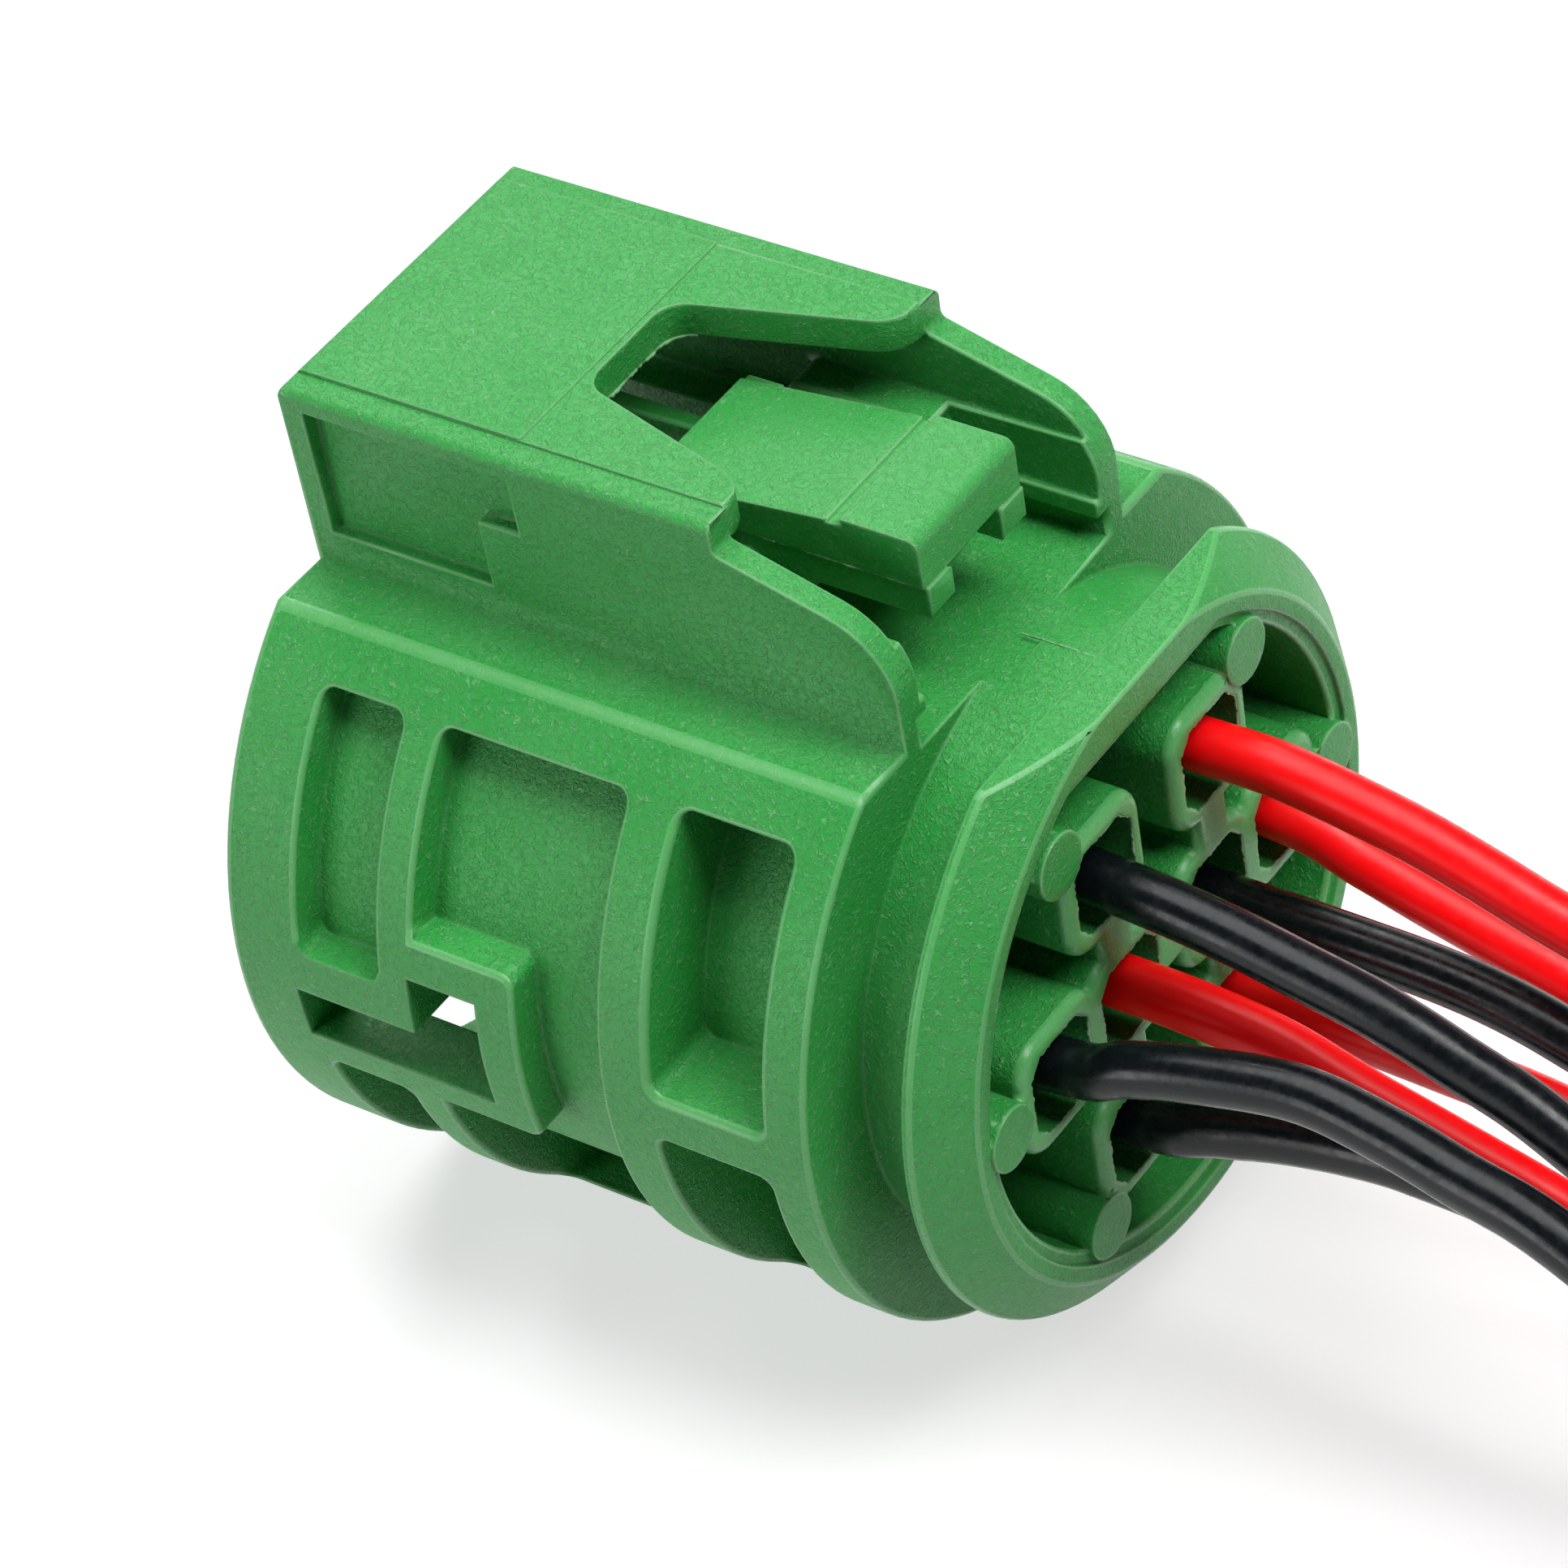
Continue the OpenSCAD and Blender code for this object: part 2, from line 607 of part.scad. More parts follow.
module latch_lever() color(lever_green) {
    lever_plate();
    both_sides() lever_rail();
    across_y(-lever_rail_out, lever_rail_out) polygon([
        [hook_x, arm_top_z], [hook_x, arm_z], [hook_x + hook_len - hook_flat, arm_z - hook_drop],
        [hook_x + hook_len, arm_z - hook_drop], [hook_x + hook_len, arm_top_z]
    ]);
}

// Stamped contact: a square box for the mating pin, an open throat and a round crimp barrel
module contact(i) color(tin) translate([0, cells[i][0], cells[i][1]]) {
    along_x(contact_x, contact_x + box_len) difference() {
        chamfered(contact_w, contact_chamfer);
        chamfered(contact_w - 2 * contact_t, contact_chamfer - chamfer_share * contact_t);
    }
    along_x(contact_x + box_len - over, crimp_x0 + over) difference() {
        translate([-throat_w / 2, -contact_w / 2]) square([throat_w, throat_h]);
        translate([contact_t - throat_w / 2, contact_t - contact_w / 2])
            square([throat_w - 2 * contact_t, contact_w]);
    }
    along_x(crimp_x0, crimp_x1) difference() {
        circle(r = crimp_in + crimp_t, $fn = 48);
        circle(r = crimp_in, $fn = 48);
        translate([-seam_w / 2, 0]) square([seam_w, contact_w]);
    }
}

// Smooth curve through four points, between the second and the third
function eased(a, b, c, d, t) =
    b + t * (c - a) / 2 + t * t * (2 * a - 5 * b + 4 * c - d) / 2
        + t * t * t * (3 * b - a - 3 * c + d) / 2;

// Points of a wire: straight in the crimp barrel, then smooth along its route
function wire_points(i) =
    let (start = [wire_x, cells[i][0], cells[i][1]], path = concat(
            [[wire_straight_x, cells[i][0], cells[i][1]]], routes[i]), last = len(path) - 1)
    concat([start], [for (j = [0:last - 1], k = [0:wire_steps - 1])
        eased(j == 0 ? start : path[j - 1], path[j], path[j + 1], path[min(j + 2, last)], k / wire_steps)],
        [path[last]]);

function along(points, i) =
    unit(points[min(i + 1, len(points) - 1)] - points[max(i - 1, 0)]);

// Ring of points round one point of a route
function wire_ring(points, i) =
    let (t = i == 1 ? [1, 0, 0] : along(points, i), u = unit(cross(t, [0, 1, 0])), v = cross(t, u))
    [for (k = [0:wire_sides - 1]) points[i]
        + wire_d / 2 * (cos(360 * k / wire_sides) * u + sin(360 * k / wire_sides) * v)];

module wire(i) color(wire_is_red[i] ? red : black) {
    points = wire_points(i);
    n = len(points);
    sides = [for (j = [0:n - 2], k = [0:wire_sides - 1])
        let (a = j * wire_sides + k, b = j * wire_sides + (k + 1) % wire_sides)
        each [[a, b, b + wire_sides], [a, b + wire_sides, a + wire_sides]]];
    front = [for (k = [wire_sides - 1:-1:0]) k];
    rear = [for (k = [0:wire_sides - 1]) (n - 1) * wire_sides + k];
    polyhedron([for (i = [0:n - 1]) each wire_ring(points, i)], concat([front], sides, [rear]));
}

module bare_end(i) color(copper) {
    end = routes[i][len(routes[i]) - 1];
    translate(end) rotate([0, 90, 0]) cylinder(d = copper_d, h = strip_len, $fn = 32);
}

housing();
latch_lever();
for (i = [0:len(cells) - 1]) {
    contact(i);
    wire(i);
    bare_end(i);
}
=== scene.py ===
"""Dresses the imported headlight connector: moulded plastic, wires, contacts, camera and studio light."""
import math

import bmesh
import bpy
from bpy.props import FloatProperty, FloatVectorProperty, IntProperty, PointerProperty
from bpy.types import Operator, Panel, PropertyGroup
from mathutils import Matrix, Vector, noise
from mathutils.bvhtree import BVHTree
from mathutils.kdtree import KDTree


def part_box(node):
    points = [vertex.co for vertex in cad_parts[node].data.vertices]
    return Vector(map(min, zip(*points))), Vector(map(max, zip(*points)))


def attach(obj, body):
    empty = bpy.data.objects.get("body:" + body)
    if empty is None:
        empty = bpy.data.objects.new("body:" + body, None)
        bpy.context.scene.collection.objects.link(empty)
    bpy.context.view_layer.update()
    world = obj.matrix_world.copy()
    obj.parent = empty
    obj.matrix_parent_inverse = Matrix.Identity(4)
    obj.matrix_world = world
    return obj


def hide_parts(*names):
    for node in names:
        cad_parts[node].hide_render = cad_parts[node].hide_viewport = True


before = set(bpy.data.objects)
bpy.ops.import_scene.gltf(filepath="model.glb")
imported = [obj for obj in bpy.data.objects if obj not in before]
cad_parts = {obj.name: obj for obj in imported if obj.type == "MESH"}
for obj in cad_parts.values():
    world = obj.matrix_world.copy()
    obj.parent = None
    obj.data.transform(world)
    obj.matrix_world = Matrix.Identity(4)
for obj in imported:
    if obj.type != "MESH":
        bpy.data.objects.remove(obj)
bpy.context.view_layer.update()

bl_info = {
    "name": "Headlight connector",
    "version": (1, 0, 0),
    "blender": (4, 5, 0),
    "location": "3D View > Sidebar > Connector",
    "description": "Finishes the pieces of a headlight connector and sets up its photograph",
    "category": "Object",
}

MM = 0.001
SURFACE_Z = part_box("housing")[0][2]
# Rear faces of the ring and the cells, which the pads stand proud of
REAR_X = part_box("housing")[1][0] - 0.15 * MM
# Faces no further apart than this are flush
FLUSH = 0.01 * MM

# Angle across an edge past which it is sharp, and turn between two edges past which they are not one run
SHARP_ANGLE = math.radians(32)
RUN_TURN = math.radians(38)
# Share of the room beside an edge that its round may take
EDGE_SHARE = 0.36
# Area of the smallest fold at a cramped corner that makes the rounds there narrower
FOLD_AREA = 0.03 * MM * MM
# How often cramped rounds are narrowed, and by what factor each time
EASE_TRIES = 5
EASE = 0.7
# Places in a moulding's list of materials of the rounded edges, paler with a painted highlight, and of the
# cell ends, paler with a painted sheen
EDGE_HIGHLIGHT_SLOT, END_SHEEN_SLOT = 1, 2

# Width of the soft shading across the plastic's edges, how much a painted highlight pales the outer edges,
# and how much glossier they are
SOFT_EDGE = 0.26 * MM
EDGE_PAINTED_HIGHLIGHT = 0.5
EDGE_GLOSS = 0.14
# Cosine of the turn from a face to its softened edge, where the edge starts and where it is full
EDGE_TURN = (0.99, 0.84)
# Open share of what lies round a spot, for an inner edge and for an outer one
EDGE_OPEN = (0.7, 0.92)

# Radius that the cells' ends lie within, and radius past which an edge is on the outside of the sleeve
CELLS_RADIUS = 13.0 * MM
SLEEVE_RADIUS = 17.9 * MM
# Room of the coding windows in the sleeve's sides: x, largest z up or down, and least radius
WINDOW_X = (3.0 * MM, 12.8 * MM)
WINDOW_Z = 3.0 * MM
WINDOW_RADIUS = 14.5 * MM
# Room of the panels in the hood's walls: x, least y on either side, and z
PANEL_X = (0.5 * MM, 10.5 * MM)
PANEL_Y = 7.5 * MM
PANEL_Z = (15.0 * MM, 22.3 * MM)

# Lines that torn flash stands off, in millimetres: under the front of the hood's notch and round its corner,
# along the mould's parting line on the neck, and along the lever's far flank
NOTCH_LINE = [(11.32, -1.85, 21.49)] + [
    (12.7 + 1.38 * math.cos(a), 1.85 + 1.38 * math.sin(a), 21.49)
    for a in (math.radians(180 - 12.4 * k) for k in range(7))]
NECK_LINE = [(28.6, 0.22, 13.97), (32.05, 0.22, 13.97)]
LEVER_LINE = [(14.2, 3.44, 18.5), (27.0, 3.44, 18.5)]
# Spacing of the points along torn flash
FLASH_STEP = 0.16 * MM
# How far the flash of a cavity mouth reaches into the plastic round it, and lies below the cell's end
LIP_SEAT = 0.05 * MM
LIP_DEPTH = 0.03 * MM

# The photograph's camera: its place in metres, and the directions to its right and up
CAMERA_PLACE = (0.146953, -0.154333, 0.176154)
CAMERA_RIGHT = Vector((0.82366, 0.55124, -0.13311))
CAMERA_UP = Vector((-0.28332, 0.60334, 0.74546))
# Soft boxes: name, place and width in metres, and brightness as a share of the lamp radiance
SOFT_BOXES = (
    ("soft box above", (-0.04, 0.05, 0.66), 0.5, 0.5),
    ("soft box behind", (-0.3, 0.36, 0.42), 0.28, 0.58),
    ("soft box right", (0.36, 0.05, 0.58), 0.34, 1.2),
    ("soft box left", (-0.25, -0.58, 0.14), 0.3, 0.56),
)
# Place that the soft boxes point at
LIT_PLACE = Vector((0.03, 0.0, 0.0))
FLOOR_HALF = 3.0
# Distances between which the floor goes from lit to all its own white
FLOOR_LIT = (0.3, 1.3)
# Sines of the angles above the floor between which the white backdrop gives way to the dim room
BACKDROP_TOP = (0.1, 0.35)

# Cell places as (y, z), in the order of the wires, in millimetres
CELLS = [(4, 6.85), (8.5, 0), (3.3, 0), (-4, 6.85), (-3.3, 0), (4, -6.85), (-8.5, 0), (-4, -6.85)]
RED_WIRES = (1, 2, 5, 6)
WIRE_START_X = 16.45
WIRE_STRAIGHT_X = 22.95
WIRE_STEPS = 3
# Rings of strands in a wire: distance from its middle in strand diameters, and number of strands
STRAND_RINGS = ((0.0, 1), (1.0, 6), (1.98, 12))
STRAND_STEPS = 10
# Routes of the wires from the rear of the cells, in millimetres
ROUTES = [
    [(34.2, 4, 7.1), (38, 4, 7), (42.8, 4, 6.1), (46.1, 4, 5.1), (48.9, 4, 4.1), (55, 4.4, 1.5),
     (64, 5.4, -4.2), (74, 6.8, -11), (84, 7.8, -15.6), (94, 8, -16.7), (104, 8, -16.7)],
    [(34.2, 8.5, -0.2), (37.7, 8.5, -1.2), (40.7, 8.5, -2.2), (44.1, 8.5, -3.2), (47.5, 8.6, -4.3),
     (55, 9, -7.4), (64, 9.8, -11), (74, 10.7, -14.4), (84, 11.2, -16.3), (93, 11.2, -16.7),
     (102, 11.2, -16.7)],
    [(34.2, 3.3, -0.4), (39, 3.3, -0.4), (45.3, 3.3, -0.6), (50, 3.2, -1.5), (56, 3, -3.8),
     (65, 2.5, -8.3), (75, 1.9, -13.1), (85, 1.6, -16.1), (94, 1.6, -16.7), (103, 1.6, -16.7)],
    [(34.2, -4, 6.5), (39.2, -4, 6), (42.7, -4, 5.3), (46.2, -4, 4.5), (49.7, -4, 3.2), (54.2, -4.2, 1.4),
     (64, -5.2, -4), (74, -6.7, -10.6), (84, -7.7, -15.4), (94, -8, -16.7), (105, -8, -16.7)],
    [(34.2, -3.3, 0.4), (40.4, -3.3, 0), (44.7, -3.3, -1.3), (49.6, -3.2, -2.8), (54, -3, -4.4),
     (63, -2.4, -8.4), (73, -1.9, -12.8), (84, -1.6, -16.1), (94, -1.6, -16.7), (105, -1.6, -16.7)],
    [(34.2, 4, -6.6), (38, 4, -6.2), (44, 4, -6.4), (49, 4, -6.8), (56, 4.2, -8.4), (65, 4.6, -11.6),
     (75, 4.8, -14.9), (85, 4.8, -16.5), (94, 4.8, -16.7), (104, 4.8, -16.7)],
    [(34.2, -8.45, 0.45), (37, -8.2, 1.2), (39.5, -7.75, 1.65), (44, -7, 1.9), (47.7, -7, 1.4),
     (51.3, -7.3, 0.7), (56, -7.9, -0.1), (64, -9, -3.8), (74, -10.3, -10.2), (84, -11, -15.2),
     (94, -11.2, -16.7), (103, -11.2, -16.7)],
    [(34.2, -3.9, -6.6), (37.5, -3.4, -6.15), (40.2, -2.85, -5.8), (43.3, -2.4, -5.6), (46.4, -2.3, -5.5),
     (51.4, -2.6, -5.8), (58, -3.4, -8.6), (66, -4.4, -12.4), (74, -4.8, -15.2), (83, -4.8, -16.6),
     (92, -4.8, -16.7), (102, -4.8, -16.7)],
]


class ConnectorSizes(PropertyGroup):
    """Sizes of the finishing details"""

    edge_round: FloatProperty(
        name="Edge round", description="Width of the rounding along most moulded edges",
        default=0.3 * MM, unit="LENGTH", precision=6)
    soft_round: FloatProperty(
        name="Soft round", description="Width of the rounding along the sleeve's shoulders, rims and block",
        default=0.42 * MM, unit="LENGTH", precision=6)
    cell_round: FloatProperty(
        name="Cell round", description="Width of the rounding round the outside of the cells' ends",
        default=0.45 * MM, unit="LENGTH", precision=6)
    edge_steps: IntProperty(
        name="Edge steps", description="Facets across a rounded edge", default=3, min=1)
    panel_round: FloatProperty(
        name="Panel round", description="Width of the rounding round the panels in the hood's walls",
        default=0.09 * MM, unit="LENGTH", precision=6)
    mouth_round: FloatProperty(
        name="Mouth round", description="Width of the rounding round the cavity mouths",
        default=0.07 * MM, unit="LENGTH", precision=6)
    flash_reach: FloatProperty(
        name="Flash reach", description="How far the ragged flash stands into a cavity mouth",
        default=0.2 * MM, unit="LENGTH", precision=6)
    flash_thickness: FloatProperty(
        name="Flash thickness", description="Thickness of the flash",
        default=0.07 * MM, unit="LENGTH", precision=6)
    cavity_width: FloatProperty(
        name="Cavity width", description="Width of a contact cavity",
        default=4.2 * MM, unit="LENGTH", precision=6)
    cavity_chamfer: FloatProperty(
        name="Cavity chamfer", description="Chamfer of a cavity's corners",
        default=0.8 * MM, unit="LENGTH", precision=6)
    wire_diameter: FloatProperty(
        name="Wire diameter", description="Outer diameter of a wire",
        default=2.3 * MM, unit="LENGTH", precision=6)
    strand_diameter: FloatProperty(
        name="Strand diameter", description="Diameter of one copper strand",
        default=0.29 * MM, unit="LENGTH", precision=6)
    strand_turn: FloatProperty(
        name="Strand turn", description="Twist of the strands over the bare length",
        default=math.radians(110), subtype="ANGLE")


class ConnectorColours(PropertyGroup):
    """Colours of the finishes"""

    green: FloatVectorProperty(
        name="Green", description="Moulded plastic", subtype="COLOR", default=(0.012, 0.28, 0.036))
    # Real in the fibres; on the rounded edges and the flash this pale green is a painted highlight
    pale_green: FloatVectorProperty(
        name="Pale green", description="Fibres and worn edges of the moulded plastic",
        subtype="COLOR", default=(0.24, 0.52, 0.25))
    # Paler than the green: a painted sheen on the cell ends
    end_green: FloatVectorProperty(
        name="End green", description="Dull end faces of the contact cells",
        subtype="COLOR", default=(0.055, 0.33, 0.075))
    red: FloatVectorProperty(
        name="Red", description="Red insulation", subtype="COLOR", default=(0.96, 0.002, 0.004))
    black: FloatVectorProperty(
        name="Black", description="Black insulation", subtype="COLOR", default=(0.003, 0.0042, 0.0055))
    tin: FloatVectorProperty(
        name="Tin", description="Tinned contacts", subtype="COLOR", default=(0.62, 0.61, 0.58))
    copper: FloatVectorProperty(
        name="Copper", description="Bare strands", subtype="COLOR", default=(0.8, 0.42, 0.24))
    floor: FloatVectorProperty(
        name="Floor", description="Floor below the connector", subtype="COLOR", default=(0.46, 0.46, 0.46))


class ConnectorStage(PropertyGroup):
    """Camera and light"""

    lens: FloatProperty(
        name="Lens", description="Focal length for a 36 mm wide frame, in millimetres", default=149.17)
    lamp_radiance: FloatProperty(
        name="Lamp radiance", description="Brightness of the soft boxes, where 1 is white", default=8.9)
    sky: FloatProperty(
        name="Sky", description="Brightness of the room round the connector", default=0.04)
    floor_glow: FloatProperty(
        name="Floor glow", description="Share of the floor's white that shadows leave alone", default=0.62)


def settings():
    scene = bpy.context.scene
    return scene.connector_sizes, scene.connector_colours, scene.connector_stage


class Shader:
    """A material's or the world's node tree, built one node at a time."""

    def __init__(self, owner, output="ShaderNodeOutputMaterial"):
        owner.use_nodes = True
        self.owner = owner
        self.tree = owner.node_tree
        self.tree.nodes.clear()
        self.output = self.tree.nodes.new(output)

    def add(self, kind, links=(), **values):
        """Adds a node, sets its sockets and properties, and links sockets to other nodes' outputs."""
        made = self.tree.nodes.new(kind)
        for key, value in values.items():
            socket = made.inputs.get(key.replace("_", " "))
            if socket is None:
                setattr(made, key, value)
            else:
                socket.default_value = value
        for key, source in dict(links).items():
            self.tree.links.new(source, made.inputs[key])
        return made

    def finish(self, shader):
        self.tree.links.new(shader.outputs[0], self.output.inputs["Surface"])
        return self.owner

    def place(self, output="Object"):
        return self.add("ShaderNodeTexCoord").outputs[output]

    def noise(self, where, scale, detail=2.0, roughness=0.5, distortion=0.0):
        return self.add("ShaderNodeTexNoise", {"Vector": where}, Scale=scale, Detail=detail,
                        Roughness=roughness, Distortion=distortion).outputs["Fac"]

    def ramp(self, value, low, high, start=0.0, end=1.0):
        return self.add("ShaderNodeMapRange", {"Value": value}, From_Min=low, From_Max=high,
                        To_Min=start, To_Max=end).outputs["Result"]

    def math(self, operation, a, b):
        """Result of an operation on a and b, which are numbers or sockets."""
        made = self.add("ShaderNodeMath", operation=operation)
        for socket, value in zip(made.inputs, (a, b)):
            if isinstance(value, bpy.types.NodeSocket):
                self.tree.links.new(value, socket)
            else:
                socket.default_value = value
        return made.outputs[0]

    def mix(self, share, a, b):
        """Colour between the colours a and b by share."""
        made = self.add("ShaderNodeMix", {"Factor": share}, data_type="RGBA")
        for socket, colour in ((made.inputs[6], a), (made.inputs[7], b)):
            socket.default_value = (*colour, 1.0)
        return made.outputs[2]

    def bump(self, height, depth, **links):
        """Bumps of a height, with the bump node's other sockets linked by name."""
        return self.add("ShaderNodeBump", {"Height": height, **links}, Distance=depth).outputs["Normal"]

    def looked_at(self, mirrored=1.0):
        """1 for what the camera sees, mirrored for what metal and glass show, 0 for what only gives light."""
        rays = self.add("ShaderNodeLightPath").outputs
        shown = self.math("MAXIMUM", rays["Is Glossy Ray"], rays["Is Transmission Ray"])
        return self.math("MAXIMUM", rays["Is Camera Ray"], self.math("MULTIPLY", shown, mirrored))

    def edges(self, radius):
        """Normal rounded over every edge, the share of that round, and its share on outer edges alone."""
        soft = self.add("ShaderNodeBevel", samples=4, Radius=radius).outputs[0]
        face = self.add("ShaderNodeNewGeometry").outputs["Normal"]
        turn = self.add("ShaderNodeVectorMath", {0: soft, 1: face}, operation="DOT_PRODUCT")
        share = self.ramp(turn.outputs["Value"], *EDGE_TURN)
        around = self.add("ShaderNodeAmbientOcclusion", only_local=True, samples=3, Distance=2.0 * radius)
        outer = self.ramp(around.outputs["AO"], *EDGE_OPEN)
        return soft, share, self.math("MULTIPLY", share, outer)


def moulded_plastic(name, base, pale, grain_depth, fibre_share, pale_tone_and_highlight, roughness=0.45):
    """Glass-filled moulded plastic: cloudy colour, fine mould grain and short pale fibres at the surface, and
    a painted highlight on its outer edges.
    """
    s = Shader(bpy.data.materials.new(name))
    where = s.place()
    clouds = s.noise(where, 240.0, detail=3.0, roughness=0.6)
    grain = s.noise(where, 3000.0, detail=3.0, roughness=0.65, distortion=1.2)
    # Contour lines of a noise, broken up by another one, make short curved fibres
    lines = s.noise(where, 2900.0, detail=1.5, distortion=0.9)
    ridge = s.math("ABSOLUTE", s.math("SUBTRACT", lines, 0.5), 0.0)
    fibres = s.math("MULTIPLY", s.ramp(ridge, 0.045, 0.01), s.ramp(s.noise(where, 3800.0), 0.34, 0.56))
    soft, edge, outer_edge = s.edges(SOFT_EDGE)
    # pale_tone_and_highlight raises the pale share all over; where it is large, on rounded edges and flash,
    # it is a painted highlight
    share = s.math("ADD", s.ramp(clouds, 0.3, 0.75, start=pale_tone_and_highlight, end=pale_tone_and_highlight + 0.09),
                   s.math("MULTIPLY", fibres, fibre_share))
    # Outer edges are mixed towards the pale green as a painted highlight
    colour = s.mix(s.math("ADD", share, s.math("MULTIPLY", outer_edge, EDGE_PAINTED_HIGHLIGHT)), base, pale)
    height = s.math("ADD", grain, s.math("MULTIPLY", fibres, 0.5))
    dull = s.ramp(grain, 0.3, 0.7, start=roughness - 0.08, end=roughness + 0.08)
    # The grain is worn down along the edges
    strength = s.ramp(edge, 0.0, 1.0, start=1.0, end=0.1)
    plastic = s.add("ShaderNodeBsdfPrincipled", {
        "Base Color": colour,
        "Roughness": s.math("SUBTRACT", dull, s.math("MULTIPLY", outer_edge, EDGE_GLOSS)),
        "Normal": s.bump(height, grain_depth, Normal=soft, Strength=strength),
    }, IOR=1.47)
    return s.finish(plastic)


def insulation(name, base, light, roughness):
    """Drawn wire insulation: a faint orange peel, and patches of fine wrinkles across the wire."""
    s = Shader(bpy.data.materials.new(name))
    where = s.place()
    along = s.add("ShaderNodeMapping", {"Vector": s.place("UV")}, vector_type="POINT",
                  Scale=(3.0, 330.0, 1.0)).outputs[0]
    peel = s.noise(where, 2600.0, roughness=0.55)
    patches = s.ramp(s.noise(where, 170.0), 0.54, 0.72)
    wrinkles = s.math("MULTIPLY", s.noise(along, 1.0, roughness=0.6, distortion=0.4), patches)
    clouds = s.noise(where, 420.0, detail=3.0)
    colour = s.mix(s.ramp(clouds, 0.35, 0.75, end=0.35), base, light)
    cover = s.add("ShaderNodeBsdfPrincipled", {
        "Base Color": colour,
        "Roughness": s.ramp(peel, 0.3, 0.7, start=roughness - 0.05, end=roughness + 0.09),
        "Normal": s.bump(s.math("ADD", peel, wrinkles), 0.005 * MM),
    }, IOR=1.5, Specular_IOR_Level=0.3)
    return s.finish(cover)


def metal(name, base, dull, roughness):
    """Plain sheet or wire metal with duller, rougher patches."""
    s = Shader(bpy.data.materials.new(name))
    where = s.place()
    patches = s.noise(where, 900.0, detail=4.0, roughness=0.65)
    fine = s.noise(where, 6000.0)
    face = s.add("ShaderNodeBsdfPrincipled", {
        "Base Color": s.mix(s.ramp(patches, 0.4, 0.7), base, dull),
        "Roughness": s.ramp(patches, 0.35, 0.7, start=roughness, end=roughness + 0.2),
        "Normal": s.bump(fine, 0.004 * MM),
    }, Metallic=1.0)
    return s.finish(face)


def studio_floor(name, colour, glow):
    """White floor that keeps the shadow: part diffuse, part its own white for what looks at it."""
    s = Shader(bpy.data.materials.new(name))
    matt = s.add("ShaderNodeBsdfDiffuse", Color=(*colour, 1.0))
    # Far off, where the lamps do not reach, all of its white is its own
    away = s.add("ShaderNodeVectorMath", {0: s.place()}, operation="LENGTH").outputs["Value"]
    own = s.math("MULTIPLY", s.looked_at(), s.ramp(away, *FLOOR_LIT, start=glow))
    white = s.add("ShaderNodeEmission", {"Strength": own})
    return s.finish(s.add("ShaderNodeAddShader", {0: matt.outputs[0], 1: white.outputs[0]}))


def white_room(name, level):
    """World that looks white: a white backdrop all round, and a dim room above it and for what it lights."""
    s = Shader(bpy.data.worlds.new(name), "ShaderNodeOutputWorld")
    height = s.add("ShaderNodeSeparateXYZ", {0: s.place("Generated")}).outputs["Z"]
    backdrop = s.ramp(height, *BACKDROP_TOP, start=1.0, end=0.0)
    strength = s.ramp(s.looked_at(backdrop), 0.0, 1.0, start=level)
    return s.finish(s.add("ShaderNodeBackground", {"Strength": strength}, Color=(1.0, 1.0, 1.0, 1.0)))


def add_object(name, data, materials):
    made = bpy.data.objects.new(name, data)
    bpy.context.scene.collection.objects.link(made)
    for material in materials:
        data.materials.append(material)
    return made


def mesh_of(bm, name):
    mesh = bpy.data.meshes.new(name)
    bm.to_mesh(mesh)
    bm.free()
    return mesh


def eased(a, b, c, d, t):
    """Smooth curve through four points, between the second and the third."""
    return (b + t * (c - a) / 2 + t * t * (2 * a - 5 * b + 4 * c - d) / 2
            + t * t * t * (3 * b - a - 3 * c + d) / 2)


def wire_points(i):
    """Points of a wire: straight in the crimp barrel, then smooth along its route."""
    y, z = CELLS[i]
    start = Vector((WIRE_START_X, y, z))
    path = [Vector((WIRE_STRAIGHT_X, y, z))] + [Vector(p) for p in ROUTES[i]]
    last = len(path) - 1
    points = [start]
    for j in range(last):
        before = start if j == 0 else path[j - 1]
        for k in range(WIRE_STEPS):
            points.append(eased(before, path[j], path[j + 1], path[min(j + 2, last)], k / WIRE_STEPS))
    points.append(path[last])
    return [p * MM for p in points]


def merged_copy(node):
    """The CAD node's mesh as one closed surface of well-shaped triangles."""
    bm = bmesh.new()
    bm.from_mesh(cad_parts[node].data)
    bmesh.ops.remove_doubles(bm, verts=bm.verts, dist=2e-6)
    bmesh.ops.dissolve_limit(bm, angle_limit=math.radians(0.5), verts=bm.verts, edges=bm.edges)
    bmesh.ops.triangulate(bm, faces=bm.faces, quad_method="BEAUTY", ngon_method="BEAUTY")
    return bm


def edge_spots(edges, spacing):
    """Points along edges, each with its edge."""
    spots = []
    for e in edges:
        a, b = (v.co for v in e.verts)
        n = max(1, int((b - a).length / spacing))
        spots += [(a.lerp(b, k / n), e) for k in range(n + 1)]
    tree = KDTree(len(spots))
    for k, (point, _) in enumerate(spots):
        tree.insert(point, k)
    tree.balance()
    return spots, tree


def heading(e):
    return (e.verts[1].co - e.verts[0].co).normalized()


